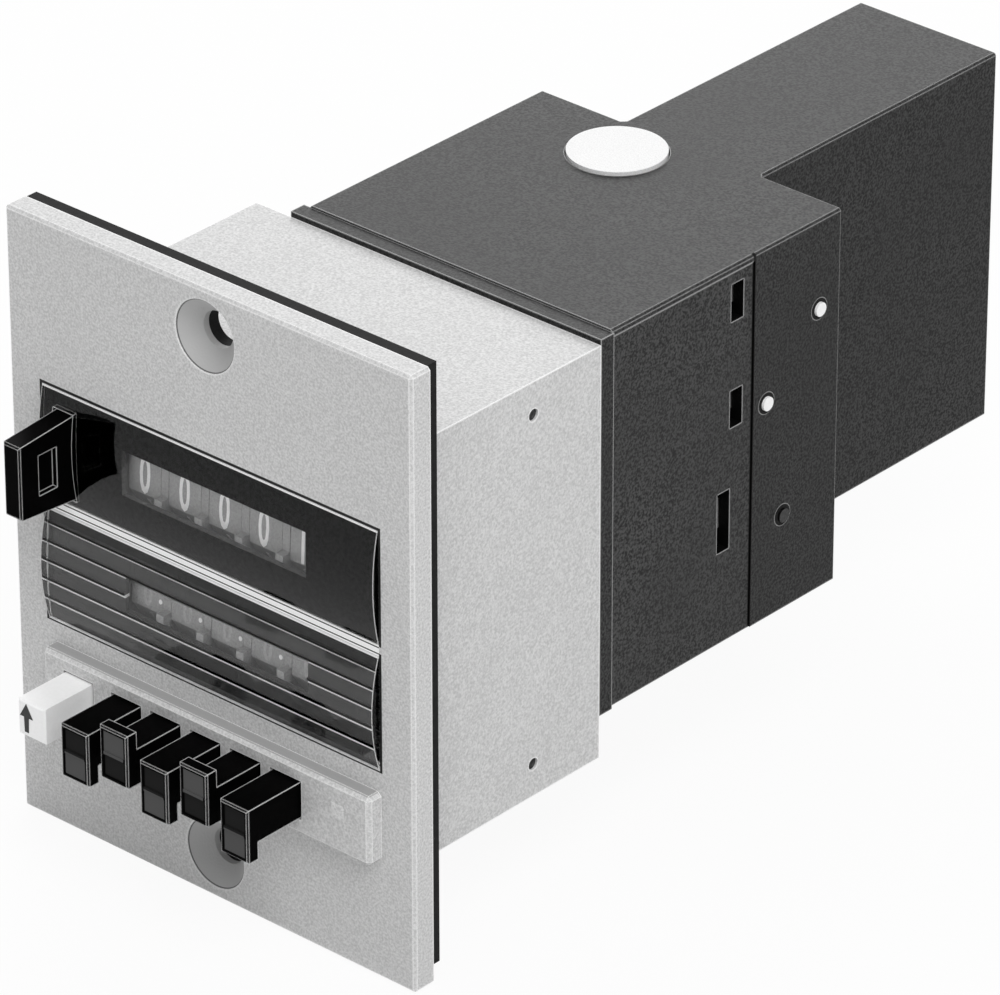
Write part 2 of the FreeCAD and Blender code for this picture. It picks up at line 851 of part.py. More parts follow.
pinion_width = s.key_pitch - s.rim_width - 2 * s.pinion_clear
pinion_radii = (s.pinion_root, s.pinion_tip)
pinion_gaps = (s.pinion_gap_root, s.pinion_gap_tip)
for k in KEYS[:-1]:
    pinion = body(f"transfer_pinion_{k}")
    across = (size(0), pinion_width)
    gear(pinion, f"pinion_{k}", PINION_TEETH, across, pinion_radii, pinion_gaps, s.mesh_angle)
    pinion_bore = [(0, 0, s.pin_radius + s.running_gap)]
    pocket(pinion, f"pinion_bore_{k}", "x", across[0], across[1], circles=pinion_bore)
    node(move(pinion, x=wheel_x[k] + half_rim + s.pinion_clear, y=pinion_y, z=pinion_z))


# Frame plates and their shafts
def frame_plate(name, x, z, holes, windows=()):
    """A plate with round holes (radius, centre) and square windows (y, z spans)."""
    depth = (s.side_front, back_y[0])
    tools = [
        rod(f"{name}_hole_{k}", "x", radius, x[0], x[1], centre)
        for k, (radius, centre) in enumerate(holes, start=1)
    ]
    tools += [box(f"{name}_window_{k}", x, y, height) for k, (y, height) in enumerate(windows, start=1)]
    return node(cut(name, box(f"{name}_blank", x, depth, z), tools))


def shafts(name, radius, left, axes):
    members = [rod(f"{name}_{k}", "x", radius, left, right_x[1], centre) for k, centre in enumerate(axes)]
    return node(fuse(name, members))


wheel_axes = [(counter_back, s.display_mid), (preset_back, s.preset_mid), (drive_y, drive_z)]
rocker_axes = [(s.comb_back, s.comb_height), (s.comb_back, s.rocker_height)]
shaft_holes = [(s.shaft_radius, centre) for centre in wheel_axes] + [(s.pin_radius, (pinion_y, pinion_z))]
rocker_holes = [(s.pin_radius, centre) for centre in rocker_axes]
rocker_windows = [(around(y, 2 * s.bar_swing), around(z, 2 * s.bar_swing)) for y, z in rocker_axes]
frame_plate("left_side_plate", left_x, side_z, rocker_holes)
frame_plate("middle_plate", middle_x, (guide_top, side_z[1]), shaft_holes, rocker_windows)
frame_plate("right_side_plate", right_x, side_z, shaft_holes + rocker_holes)
shafts("wheel_shafts", s.shaft_radius, middle_x[0], wheel_axes)
shafts("rocker_shafts", s.pin_radius, left_x[0], rocker_axes)
node(rod("pinion_shaft", "x", s.pin_radius, middle_x[0], right_x[1], (pinion_y, pinion_z)))

# Back plate of the mechanism, with holes for the drive rod and the trip rod
lever_z = drive_z - s.lever_reach
back_blank = box("back_blank", side_x, back_y, grown(inner_z, -s.side_gap))
drive_window = box(
    "drive_rod_window",
    around(s.lever_middle, 4 * s.rod_radius),
    back_y,
    around(lever_z, 4 * s.rod_radius),
)
trip_window = box(
    "trip_rod_window",
    around(spool_x, 4 * s.trip_radius),
    back_y,
    around(s.spool_height, 4 * s.trip_radius),
)
node(cut("back_plate", back_blank, [drive_window, trip_window]))

# Guide comb with an open slot for each key's stem
guide_front = spigot_rear + s.seat_gap + s.collar_thick + s.key_stroke + s.guide_gap
guide_y = (guide_front, guide_front + s.guide_thick)
guide_x = (left_x[1], right_x[0])
guide = body("key_guide")
stem_slots = [around(x, s.stem_size + 2 * s.slot_gap) for x in key_middles]
comb_outline = [(guide_x[1], side_z[0]), (guide_x[1], guide_top)]
for low, high in reversed(stem_slots):
    slot_floor = stem_z[0] - s.slot_gap
    comb_outline += [(high, guide_top), (high, slot_floor), (low, slot_floor), (low, guide_top)]
comb_outline += [(guide_x[0], guide_top), (guide_x[0], side_z[0])]
pad(guide, "guide_comb", "y", guide_y[0], guide_y[1], [comb_outline])
node(guide)

# Spring comb: one strip of spring steel with a finger behind each setting key
spring_y = (s.stem_back + s.seat_gap, s.stem_back + s.seat_gap + s.leaf_thick)
strip_top = stem_z[0] - s.slot_gap
springs = body("key_springs")
spring_outline = [(guide_x[1], side_z[0]), (guide_x[1], strip_top)]
for k in reversed(KEYS):
    low, high = around(wheel_x[k], s.finger_width)
    spring_outline += [(high, strip_top), (high, stem_z[1]), (low, stem_z[1]), (low, strip_top)]
spring_outline += [(guide_x[0], strip_top), (guide_x[0], side_z[0])]
pad(springs, "spring_comb", "y", spring_y[0], spring_y[1], [spring_outline])
node(springs)


# Rockers: a bar on its shaft, an arm in a key's lane and a finger for each wheel
def rocker(name, height, arm, arm_middle, finger, lift):
    bar_x = (arm_middle - s.arm_width / 2, wheel_x[5] + s.arm_width)
    bar_y = around(s.comb_back, 2 * s.bar_half)
    arm_x = around(arm_middle, s.arm_width)
    arm_y = (s.comb_back - s.arm_half, s.comb_back + s.arm_half)
    members = [box(f"{name}_bar", bar_x, bar_y, around(height, 2 * s.bar_half))]
    members.append(box(f"{name}_arm", arm_x, arm_y, (height - arm, height)))
    for k in KEYS:
        finger_z = (height + lift, height + lift + s.finger_thick)
        finger_y = (s.comb_back - finger, s.comb_back)
        members.append(box(f"{name}_finger_{k}", around(wheel_x[k], s.finger_width), finger_y, finger_z))
    solid = fuse(f"{name}_solid", members)
    centre = (s.comb_back, height)
    hole = rod(f"{name}_bore", "x", s.pin_radius + s.running_gap, bar_x[0], bar_x[1], centre)
    return node(cut(name, solid, [hole]))


rocker("reset_comb", s.comb_height, s.comb_arm, s.reset_middle, s.comb_finger, s.comb_lift)
rocker(
    "release_rocker",
    s.rocker_height,
    s.rocker_arm,
    s.release_middle,
    s.rocker_finger,
    -s.finger_thick / 2,
)


# Leaf springs from the back plate to the rockers' arms
def leaf(name, middle, foot_z, tip_height):
    made = body(name)
    tip_y = s.comb_back + s.arm_half + s.seat_gap
    rear = back_y[0]
    outline = [
        (rear, foot_z),
        (rear, foot_z + s.leaf_foot),
        (tip_y + s.leaf_thick, tip_height),
        (tip_y + s.leaf_thick, tip_height + s.leaf_thick * 2),
        (tip_y, tip_height + s.leaf_thick * 2),
        (tip_y, tip_height - s.leaf_thick),
        (rear - s.leaf_thick, foot_z + s.leaf_foot - s.leaf_thick),
        (rear - s.leaf_thick, foot_z),
    ]
    across = around(middle, s.finger_width)
    pad(made, f"{name}_strip", "x", across[0], across[1], [outline])
    return node(made)


rocker_tip = 2 * s.leaf_thick
leaf("reset_spring", s.reset_middle, size(0), s.comb_height - s.comb_arm + rocker_tip)
leaf("release_spring", s.release_middle, s.release_foot, s.rocker_height - s.rocker_arm + rocker_tip)

# Stepping drive: wheel and ratchet on one hub, lever beside it, piston and cylinder behind
drive = body("drive_wheel")
drive_left = wheel_x[5] + half_rim + s.pinion_clear
drive_end = s.gear_thick + s.drive_hub
saw_x = (drive_end - 2 * s.gear_thick, drive_end - s.gear_thick)
gear(drive, "drive", GEAR_TEETH, (size(0), s.gear_thick), gear_radii, gear_gaps, s.mesh_angle)
pad(drive, "drive_hub_pad", "x", size(0), drive_end, [polygon(NUMBERS, s.hub_radius, half_number)])
saw(drive, "drive_saw", saw_x, s.hub_radius + s.ratchet_depth + s.seat_gap)
drilled(drive, (size(0), drive_end))
node(move(drive, x=drive_left, y=drive_y, z=drive_z))

lever = body("drive_lever")
lever_x = around(s.lever_middle, s.lever_thick)
lever_outline = [
    (-s.arm_half, 0),
    (-s.arm_half, -s.lever_arm),
    (s.arm_half, -s.lever_arm),
    (s.arm_half, 0),
]
pad(lever, "lever_arm_pad", "x", lever_x[0], lever_x[1], [lever_outline])
pad(lever, "lever_hub", "x", lever_x[0], lever_x[1], circles=[(0, 0, s.hub_radius)])
pocket(lever, "lever_bore", "x", lever_x[0], lever_x[1], circles=[(0, 0, bore)])
node(move(lever, y=drive_y, z=drive_z))

rod_front = drive_y + s.arm_half + s.arm_gap
piston_rear = s.cylinder_back - s.cylinder_cap - s.seat_gap - s.piston_thick
piston_rod = rod("piston_rod", "y", s.rod_radius, rod_front, piston_rear, (s.lever_middle, lever_z))
piston_y = (piston_rear, piston_rear + s.piston_thick)
piston_head = rod("piston_head", "y", s.piston_radius, piston_y[0], piston_y[1], (s.lever_middle, lever_z))
node(fuse("drive_piston", [piston_rod, piston_head]))
cylinder_half = s.piston_radius + s.cylinder_wall
cylinder_length = 2 * s.cylinder_cap + s.piston_thick + s.drive_stroke + s.return_room
cylinder_y = (s.cylinder_back - cylinder_length, s.cylinder_back)
bore_y = grown(cylinder_y, -s.cylinder_cap)
lever_line = (s.lever_middle, lever_z)
cylinder_block = box(
    "cylinder_block",
    around(s.lever_middle, 2 * cylinder_half),
    cylinder_y,
    (floor_z[1], lever_z + cylinder_half),
)
cylinder_bore = rod("cylinder_bore", "y", s.piston_radius + s.running_gap, bore_y[0], bore_y[1], lever_line)
rod_bore = rod("rod_bore", "y", s.rod_radius + s.running_gap, cylinder_y[0], bore_y[0], lever_line)
node(cut("drive_cylinder", cylinder_block, [cylinder_bore, rod_bore]))

# Rear flange: an open frame between the sleeve and the case
flange = body("rear_flange")
flange_x = (-s.flange_left, sleeve_x[1])
flange_z = (-s.flange_bottom, s.flange_top)
flange_loops = [rectangle(flange_x, flange_z)]
flange_loops.append(rectangle(grown(flange_x, -s.flange_frame), grown(flange_z, -s.flange_frame)))
pad(flange, "flange_frame_pad", "y", flange_y[0], flange_y[1], flange_loops)
node(flange)

# Rear case: hood with a narrower block behind, open below, at the front and at its side bay
case = body("rear_case")


def plan(inset, start):
    return [
        (case_x[0] + inset, start),
        (case_x[1] - inset, start),
        (case_x[1] - inset, s.case_back - inset),
        (block_x[1] - inset, s.case_back - inset),
        (block_x[1] - inset, s.block_back - inset),
        (block_x[0] + inset, s.block_back - inset),
        (block_x[0] + inset, s.case_back - inset),
        (case_x[0] + inset, s.case_back - inset),
    ]


pad(case, "hood", "z", case_z[0], case_z[1], [plan(0, case_y[0])])
bevel(
    case,
    "hood_bevel",
    s.case_edge,
    lambda b: (near(b.ZMin, s.case_top) and b.YMax > case_y[0].value + 1)
    or (near(b.XLength, 0) and near(b.YLength, 0) and b.YMin > case_y[0].value + 1),
)
ceiling = s.case_top - s.case_wall
pocket(case, "hollow", "z", case_z[0], ceiling, [plan(s.case_wall, case_y[0])])
bay_y = (case_y[0], s.cover_back)
bay_z = (case_z[0], s.case_top - s.cover_drop)
pocket(case, "side_bay", "x", s.case_right - s.case_wall, s.case_right, [rectangle(bay_y, bay_z)])
filter_hole = [(s.disc_middle, s.disc_back, s.disc_radius + s.disc_gap)]
pocket(case, "filter_hole", "z", ceiling, s.case_top, circles=filter_hole)
plug_places = [
    (s.upper_plug_back, s.upper_plug_height),
    (s.lower_plug_back, s.lower_plug_height),
    (s.throttle_back, s.throttle_height),
]
plug_holes = [(y, z, s.plug_hole) for y, z in plug_places]
pocket(case, "plug_holes", "x", s.case_right - s.case_wall, s.case_right, circles=plug_holes)
node(case)

# Side cover with three slots
cover_x = (s.case_right - s.cover_inset - s.cover_thick, s.case_right - s.cover_inset)
cover_z = (case_z[0], bay_z[1] - s.cover_gap)
cover_sheet = box("cover_sheet", cover_x, (case_y[0], s.cover_back - s.cover_gap), cover_z)
slots = {
    "top": (size(0), s.top_slot_low, s.slot_tall),
    "middle": (size(0), s.middle_slot_low, s.slot_tall),
    "bottom": (s.slot_shift, s.bottom_slot_low, s.bottom_slot_tall),
}
slot_back = s.cover_back - s.slot_margin
slot_boxes = [
    box(f"slot_{name}", cover_x, (slot_back - s.slot_width - shift, slot_back - shift), (low, low + tall))
    for name, (shift, low, tall) in slots.items()
]
node(cut("side_cover", cover_sheet, slot_boxes))

# Case floor with six-sided seats for the threaded port inserts, which can't turn in them
floor = body("case_floor")
floor_inset = s.case_wall + s.seat_gap
pad(floor, "floor_sheet", "z", floor_z[0], floor_z[1], [plan(floor_inset, case_y[0])])
port_middles = [s.port_middle + s.port_pitch * k for k in (-1, 0, 1)]
port_outlines = [polygon(HEXAGON, s.port_corner, 0, (x, valve_middle)) for x in port_middles]
pocket(floor, "port_seats", "z", floor_z[0], floor_z[1], port_outlines)
node(floor)
bushes = body("port_bushes")
port_z = (floor_z[0], floor_z[0] + s.port_depth)
port_bores = [(x, valve_middle, s.port_bore) for x in port_middles]
pad(bushes, "port_inserts", "z", port_z[0], port_z[1], port_outlines, port_bores)
node(bushes)

# Valve block with its spool bore, seats for the inserts and latch tongues behind the cover's slots
valve = body("valve_block")
valve_x = (-s.valve_left, s.case_right - s.case_wall - s.seat_gap)
valve_z = (floor_z[1], valve_top)
pad(valve, "block", "y", valve_y[0], valve_y[1], [rectangle(valve_x, valve_z)])
tongue_x = (valve_x[1] - s.tongue_thick, valve_x[1])
for name, (shift, low, tall) in slots.items():
    tongue_y = (slot_back - s.slot_width / 2 - shift, valve_y[0])
    tongue_z = around(low + tall / 2, tall / 2)
    pad(valve, f"tongue_{name}", "y", tongue_y[0], tongue_y[1], [rectangle(tongue_x, tongue_z)])
spool_bore = [(spool_x, s.spool_height, s.spool_radius + s.running_gap)]
pocket(valve, "spool_bore", "y", valve_y[0], valve_y[1], circles=spool_bore)
pocket(valve, "insert_seats", "z", valve_z[0], port_z[1], port_outlines)
node(valve)

# Plugs of the air channels, and the throttle screw, seated on the valve block's side
plug_x = (valve_x[1], valve_x[1] + s.plug_length)
plugs = [
    rod(f"plug_{k}", "x", s.plug_radius, plug_x[0], plug_x[1], place)
    for k, place in enumerate(plug_places[:-1], start=1)
]
node(fuse("channel_plugs", plugs))
node(rod("throttle_screw", "x", s.plug_radius, plug_x[0], plug_x[1], plug_places[-1]))

spool_y = (valve_y[0] + s.seat_gap, valve_y[1] - s.spool_stroke - s.seat_gap)
spool = rod("spool", "y", s.spool_radius, spool_y[0], spool_y[1], (spool_x, s.spool_height))
trip = rod("trip_rod", "y", s.trip_radius, s.trip_front, spool_y[0], (spool_x, s.spool_height))
node(fuse("valve_spool", [spool, trip]))
filter_z = (ceiling, s.case_top + s.disc_proud)
node(rod("exhaust_filter", "z", s.disc_radius, filter_z[0], filter_z[1], (s.disc_middle, s.disc_back)))

# Air chamber: a closed box in the rear block, on a neck from the valve block
chamber_x = (block_x[0] + block_x[1]) / 2
chamber_z = (floor_z[1] + ceiling) / 2
chamber_y = (valve_y[1] + s.neck_length, s.chamber_back)
chamber_spans = [around(chamber_x, 2 * s.chamber_half), chamber_y, around(chamber_z, 2 * s.chamber_half)]
chamber_box = box("chamber_box", *chamber_spans)
neck = rod("chamber_neck", "y", s.neck_radius, valve_y[1], chamber_y[0], (chamber_x, chamber_z))
room = box("chamber_room", *[grown(span, -s.chamber_wall) for span in chamber_spans])
node(cut("air_chamber", fuse("chamber_solid", [chamber_box, neck]), [room]))

doc.recompute()
broken = [made.Name for made in doc.Objects if {"Invalid", "Error"} & set(made.State)]
broken += [made.Name for made in NODES if made.Shape.isNull() or not made.Shape.isValid()]
if broken:
    raise ValueError(f"not built: {broken}")

os.makedirs("parts", exist_ok=True)
for made in NODES:
    made.Shape.exportStep(f"parts/{made.Label}.step")
print(len(NODES), "sub-parts written")
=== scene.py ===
import math
import bpy
from mathutils import Matrix, Quaternion, Vector


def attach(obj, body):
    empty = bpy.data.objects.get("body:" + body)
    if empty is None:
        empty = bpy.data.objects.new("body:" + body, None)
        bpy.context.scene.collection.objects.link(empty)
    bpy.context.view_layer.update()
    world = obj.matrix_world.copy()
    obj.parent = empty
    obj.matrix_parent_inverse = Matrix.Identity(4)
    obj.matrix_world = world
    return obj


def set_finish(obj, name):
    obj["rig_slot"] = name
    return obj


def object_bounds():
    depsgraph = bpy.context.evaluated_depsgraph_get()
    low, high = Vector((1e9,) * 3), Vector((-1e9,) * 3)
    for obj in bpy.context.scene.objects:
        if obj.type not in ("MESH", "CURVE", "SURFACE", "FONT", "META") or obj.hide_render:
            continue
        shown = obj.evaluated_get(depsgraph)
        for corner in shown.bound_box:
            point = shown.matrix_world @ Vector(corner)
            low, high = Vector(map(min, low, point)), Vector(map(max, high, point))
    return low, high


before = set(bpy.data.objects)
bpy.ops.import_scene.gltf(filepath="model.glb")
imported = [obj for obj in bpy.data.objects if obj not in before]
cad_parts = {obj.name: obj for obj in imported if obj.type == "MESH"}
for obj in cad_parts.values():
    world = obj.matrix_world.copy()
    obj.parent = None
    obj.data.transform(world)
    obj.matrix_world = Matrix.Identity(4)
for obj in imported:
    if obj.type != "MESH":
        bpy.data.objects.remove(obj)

mm = 0.001
cadBox = [list(corner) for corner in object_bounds()]
scene = bpy.context.scene
scene.view_settings.view_transform = "Standard"
print("frame loaded")

columnLook = {  # the columns of setting keys and number wheels
    "first": -11.4 * mm,
    "pitch": 6.05 * mm,
    "count": 5,
}
columns = [
    columnLook["first"] + step * columnLook["pitch"] for step in range(columnLook["count"])
]


# node helpers

def newFinish(name):
    finish = bpy.data.materials.new(name)
    finish.use_nodes = True
    return finish, finish.node_tree


def join(tree, value, socket):
    if hasattr(value, "is_linked"):
        tree.links.new(value, socket)
    else:
        socket.default_value = value


def work(tree, operation, first, second=0.0, third=0.0):
    node = tree.nodes.new("ShaderNodeMath")
    node.operation = operation
    for value, socket in zip((first, second, third), node.inputs):
        join(tree, value, socket)
    return node.outputs[0]


def allOf(tree, mask, *others):  # 1 where each of the masks is 1
    for other in others:
        mask = work(tree, "MULTIPLY", mask, other)
    return mask


def between(tree, value, low, high):
    above = work(tree, "GREATER_THAN", value, low)
    below = work(tree, "LESS_THAN", value, high)
    return allOf(tree, above, below)


def ramped(tree, value, low, high):
    node = tree.nodes.new("ShaderNodeMapRange")
    join(tree, value, node.inputs["Value"])
    node.inputs["From Min"].default_value = low
    node.inputs["From Max"].default_value = high
    return node.outputs["Result"]


def grey(value):
    return (value, value, value, 1.0)


def blended(tree, factor, first, second):
    node = tree.nodes.new("ShaderNodeMix")
    node.data_type = "RGBA"
    join(tree, factor, node.inputs[0])
    join(tree, first, node.inputs[6])
    join(tree, second, node.inputs[7])
    return node.outputs[2]


def painted(tree, colour, mask, tone):
    return blended(tree, mask, colour, grey(tone))


def places(tree):  # the place on a piece, whole and split into x, y and z
    coordinates = tree.nodes.new("ShaderNodeTexCoord")
    split = tree.nodes.new("ShaderNodeSeparateXYZ")
    tree.links.new(coordinates.outputs["Object"], split.inputs[0])
    return coordinates.outputs["Object"], dict(zip("xyz", split.outputs))


def speckled(tree, where, scale, spread, detail=2.0):
    node = tree.nodes.new("ShaderNodeTexNoise")
    tree.links.new(where, node.inputs["Vector"])
    node.inputs["Scale"].default_value = scale
    node.inputs["Detail"].default_value = detail
    return ramped(tree, node.outputs["Fac"], 0.5 - spread, 0.5 + spread)


edgeLook = {
    "samples": 6,
    "faint": 0.015,  # how far the rounded normal leans where an edge begins to show
    "full": 0.09,
}


def nearEdge(tree, width):  # 1 on an edge of the shape, 0 on its flats
    rounded = tree.nodes.new("ShaderNodeBevel")
    rounded.samples = edgeLook["samples"]
    rounded.inputs["Radius"].default_value = width
    surface = tree.nodes.new("ShaderNodeNewGeometry")
    compare = tree.nodes.new("ShaderNodeVectorMath")
    compare.operation = "DOT_PRODUCT"
    tree.links.new(rounded.outputs["Normal"], compare.inputs[0])
    tree.links.new(surface.outputs["True Normal"], compare.inputs[1])
    lean = work(tree, "SUBTRACT", 1.0, compare.outputs["Value"])
    return ramped(tree, lean, edgeLook["faint"], edgeLook["full"])


commonLook = {  # what a finish has where its own look says nothing else
    "spread": 0.18,
    "cloud": 0.06,
    "cloudScale": 90.0,
    "cloudSpread": 0.15,
    "cloudDetail": 3.0,
    "cloudShade": 0.7,
    # edge: tone of the painted highlight along the edges, none at 0
    "edge": 0.0,
    "edgeHighlightAmount": 0.8,
    "paintOver": False,  # True where the paint also covers the painted edge highlights
    "specular": 0.4,
    "metal": 0.0,
    "bump": 0.3,
    "bumpHeight": 0.03 * mm,
}


def surfaced(name, ownLook, paint=None):
    look = dict(commonLook, **ownLook)
    finish, tree = newFinish(name)
    shader = tree.nodes["Principled BSDF"]
    where, at = places(tree)
    tone = look["tone"]
    speckle = speckled(tree, where, look["grainScale"], look["spread"])
    darkGrain = grey(tone * (1 - look["grain"]))
    paleGrain = grey(tone * (1 + look["grain"]))
    colour = blended(tree, speckle, darkGrain, paleGrain)
    cloud = speckled(tree, where, look["cloudScale"], look["cloudSpread"], look["cloudDetail"])
    clouded = work(tree, "MULTIPLY", cloud, look["cloud"])
    colour = painted(tree, colour, clouded, tone * look["cloudShade"])
    if paint and not look["paintOver"]:
        colour = paint(tree, colour, at)
    # painted highlight: pale lines along the edges of the shape
    if look["edge"]:
        line = work(tree, "MULTIPLY", nearEdge(tree, look["edgeHighlightWidth"]), look["edgeHighlightAmount"])
        colour = painted(tree, colour, line, look["edge"])
    if paint and look["paintOver"]:
        colour = paint(tree, colour, at)
    tree.links.new(colour, shader.inputs["Base Color"])
    shader.inputs["Roughness"].default_value = look["roughness"]
    shader.inputs["Specular IOR Level"].default_value = look["specular"]
    shader.inputs["Metallic"].default_value = look["metal"]
    bump = tree.nodes.new("ShaderNodeBump")
    bump.inputs["Strength"].default_value = look["bump"]
    bump.inputs["Distance"].default_value = look["bumpHeight"]
    tree.links.new(speckle, bump.inputs["Height"])
    tree.links.new(bump.outputs["Normal"], shader.inputs["Normal"])
    return finish


# light grey mouldings: the front housing and the key strip

mouldedLook = {
    "tone": 0.63,
    "grain": 0.17,
    "grainScale": 3600.0,
    "roughness": 0.62,
    "specular": 0.25,
    "bump": 0.5,
    # tone of the painted edge highlight
    "edge": 1.0,
    "edgeHighlightWidth": 0.34 * mm,
    "edgeHighlightAmount": 1.0,
}
housingLook = dict(
    mouldedLook,
    paintOver=True,
    coneRadius=4.3 * mm,
    coneBehind=-4.48 * mm,
    coneRim=-4.3 * mm,
    holeZ=32.5 * mm,
    coneShadeTone=0.46,
    rimShadeTone=0.12,
    barLow=2.5 * mm,
    barHigh=3.95 * mm,
    barHighlightTone=1.0,
    lineTone=0.03,
    lines=(3.62 * mm, 2.84 * mm),
    lineHalf=0.08 * mm,
    windows=((3.9 * mm, 18.0 * mm), (-11.85 * mm, 2.55 * mm)),
    windowHalf=25.05 * mm,
    gap=0.34 * mm,
    gapBelow=0.17 * mm,
    gapShadeTone=0.008,
)
bezelLook = dict(mouldedLook, topZ=-14.55 * mm, topShadeTone=0.36, edgeHighlightWidth=0.25 * mm)


def conePaint(tree, colour, at):  # painted shade in the screw cones, with a painted shadow line at their rim
    away = work(tree, "SUBTRACT", work(tree, "ABSOLUTE", at["z"]), housingLook["holeZ"])
    acrossSquare = work(tree, "MULTIPLY", at["x"], at["x"])
    awaySquare = work(tree, "MULTIPLY", away, away)
    squares = work(tree, "ADD", acrossSquare, awaySquare)
    inCone = work(tree, "LESS_THAN", squares, housingLook["coneRadius"] ** 2)
    behind = work(tree, "GREATER_THAN", at["y"], housingLook["coneBehind"])
    cone = allOf(tree, inCone, behind)
    rim = allOf(tree, cone, work(tree, "LESS_THAN", at["y"], housingLook["coneRim"]))
    colour = painted(tree, colour, cone, housingLook["coneShadeTone"])
    return painted(tree, colour, rim, housingLook["rimShadeTone"])


def housingPaint(tree, colour, at):  # the cones with painted shade, a painted shadow round the window gaps, and the bar between them painted bright as a highlight
    colour = conePaint(tree, colour, at)
    front = work(tree, "LESS_THAN", at["y"], housingLook["coneBehind"])
    acrossX = work(tree, "ABSOLUTE", at["x"])
    # painted shadow round each window opening
    for low, high in housingLook["windows"]:
        inX = work(tree, "LESS_THAN", acrossX, housingLook["windowHalf"] + housingLook["gap"])
        inZ = between(
            tree, at["z"], low - housingLook["gapBelow"], high + housingLook["gap"]
        )
        colour = painted(tree, colour, allOf(tree, inX, inZ, front), housingLook["gapShadeTone"])
    # painted highlight: the bar between the windows is painted white, crossed by two dark lines
    height = between(tree, at["z"], housingLook["barLow"], housingLook["barHigh"])
    along = work(tree, "LESS_THAN", acrossX, housingLook["windowHalf"])
    bar = allOf(tree, front, height, along)
    colour = painted(tree, colour, bar, housingLook["barHighlightTone"])
    half = housingLook["lineHalf"]
    for level in housingLook["lines"]:
        line = allOf(tree, bar, between(tree, at["z"], level - half, level + half))
        colour = painted(tree, colour, line, housingLook["lineTone"])
    return colour


def bezelPaint(tree, colour, at):  # painted shade: the strip's top side is darker
    top = work(tree, "GREATER_THAN", at["z"], bezelLook["topZ"])
    return painted(tree, colour, top, bezelLook["topShadeTone"])


# dark case and its side cover

caseLook = {
    "tone": 0.028,
    "grain": 0.8,
    "grainScale": 3300.0,
    "spread": 0.13,
    "cloud": 0.4,
    "cloudScale": 45.0,
    "roughness": 0.48,
    "specular": 0.12,
    "bump": 0.5,
    # tone of the painted edge highlight
    "edge": 0.5,
    "edgeHighlightWidth": 0.3 * mm,
    "paintOver": True,
    "splitY": (56.7 * mm, 57.15 * mm),
    "rearEdgeY": (71.85 * mm, 72.2 * mm),
    "sideX": 25.0 * mm,
    "gapShadeTone": 0.002,
}
coverLook = dict(caseLook, tone=0.04, faceX=25.2 * mm)


def casePaint(tree, colour, at):  # painted shade along the split line and the rear edge line on the right side
    side = work(tree, "GREATER_THAN", at["x"], caseLook["sideX"])
    for low, high in (caseLook["splitY"], caseLook["rearEdgeY"]):
        line = allOf(tree, side, between(tree, at["y"], low, high))
        colour = painted(tree, colour, line, caseLook["gapShadeTone"])
    return colour


def coverPaint(tree, colour, at):  # painted shade inside the slots and over the rear side of the cover
    inside = work(tree, "LESS_THAN", at["x"], coverLook["faceX"])
    colour = painted(tree, colour, inside, coverLook["gapShadeTone"])
    split = work(tree, "GREATER_THAN", at["y"], coverLook["splitY"][0])
    return painted(tree, colour, split, coverLook["gapShadeTone"])


# black keys: the front of each has a dark field and a mid grey one at its free end

keyLook = {
    "tone": 0.0015,
    "grain": 0.3,
    "grainScale": 3000.0,
    "roughness": 0.3,
    "specular": 0.01,
    "bump": 0.1,
    # tone of the painted edge highlight
    "edge": 0.75,
    "edgeHighlightWidth": 0.24 * mm,
    "edgeHighlightAmount": 0.95,
    "paintOver": True,
    "fieldHalf": 1.78 * mm,
    "insetHalf": 1.5 * mm,
    "inset": 0.3 * mm,
    "frontBehind": -14.2 * mm,
    "border": 0.003,
    "fieldTones": {"dark": 0.016, "pale": 0.09},
    "lowFields": {"dark": (-19.8 * mm, -17.0 * mm), "pale": (-22.6 * mm, -19.8 * mm)},
    "highFields": {"dark": (-20.4 * mm, -17.7 * mm), "pale": (-17.7 * mm, -14.8 * mm)},
}
buttonLook = dict(keyLook, edgeHighlightWidth=0.2 * mm)


def keyPaint(fields):
    lowest = min(low for low, high in fields.values()) - keyLook["inset"]
    highest = max(high for low, high in fields.values()) + keyLook["inset"]

    def paint(tree, colour, at):
        offset = work(tree, "SUBTRACT", at["x"], columnLook["first"])
        half = columnLook["pitch"] / 2
        across = work(tree, "ABSOLUTE", work(tree, "WRAP", offset, half, -half))
        front = work(tree, "LESS_THAN", at["y"], keyLook["frontBehind"])
        inside = work(tree, "LESS_THAN", across, keyLook["fieldHalf"])
        calm = allOf(tree, inside, front, between(tree, at["z"], lowest, highest))
        colour = painted(tree, colour, calm, keyLook["border"])
        inset = allOf(tree, work(tree, "LESS_THAN", across, keyLook["insetHalf"]), front)
        for name, (low, high) in fields.items():
            field = allOf(tree, inset, between(tree, at["z"], low, high))
            colour = painted(tree, colour, field, keyLook["fieldTones"][name])
        return colour

    return paint


# masks behind the windows, the lower one with light ribs

maskLook = {
    "tone": 0.045,
    "grain": 0.6,
    "grainScale": 2600.0,
    "roughness": 0.6,
    "specular": 0.1,
    "cloud": 0.3,
    "cloudScale": 60.0,
}
ribbedLook = dict(
    maskLook,
    tone=0.028,
    ribHeights=(0.05 * mm, -2.3 * mm, -4.65 * mm, -7.0 * mm, -9.35 * mm),
    ribHalf=0.19 * mm,
    ribTone=0.95,
)


def ribPaint(tree, colour, at):
    half = ribbedLook["ribHalf"]
    for height in ribbedLook["ribHeights"]:
        stripe = between(tree, at["z"], height - half, height + half)
        colour = painted(tree, colour, stripe, ribbedLook["ribTone"])
    return colour


# plain finishes

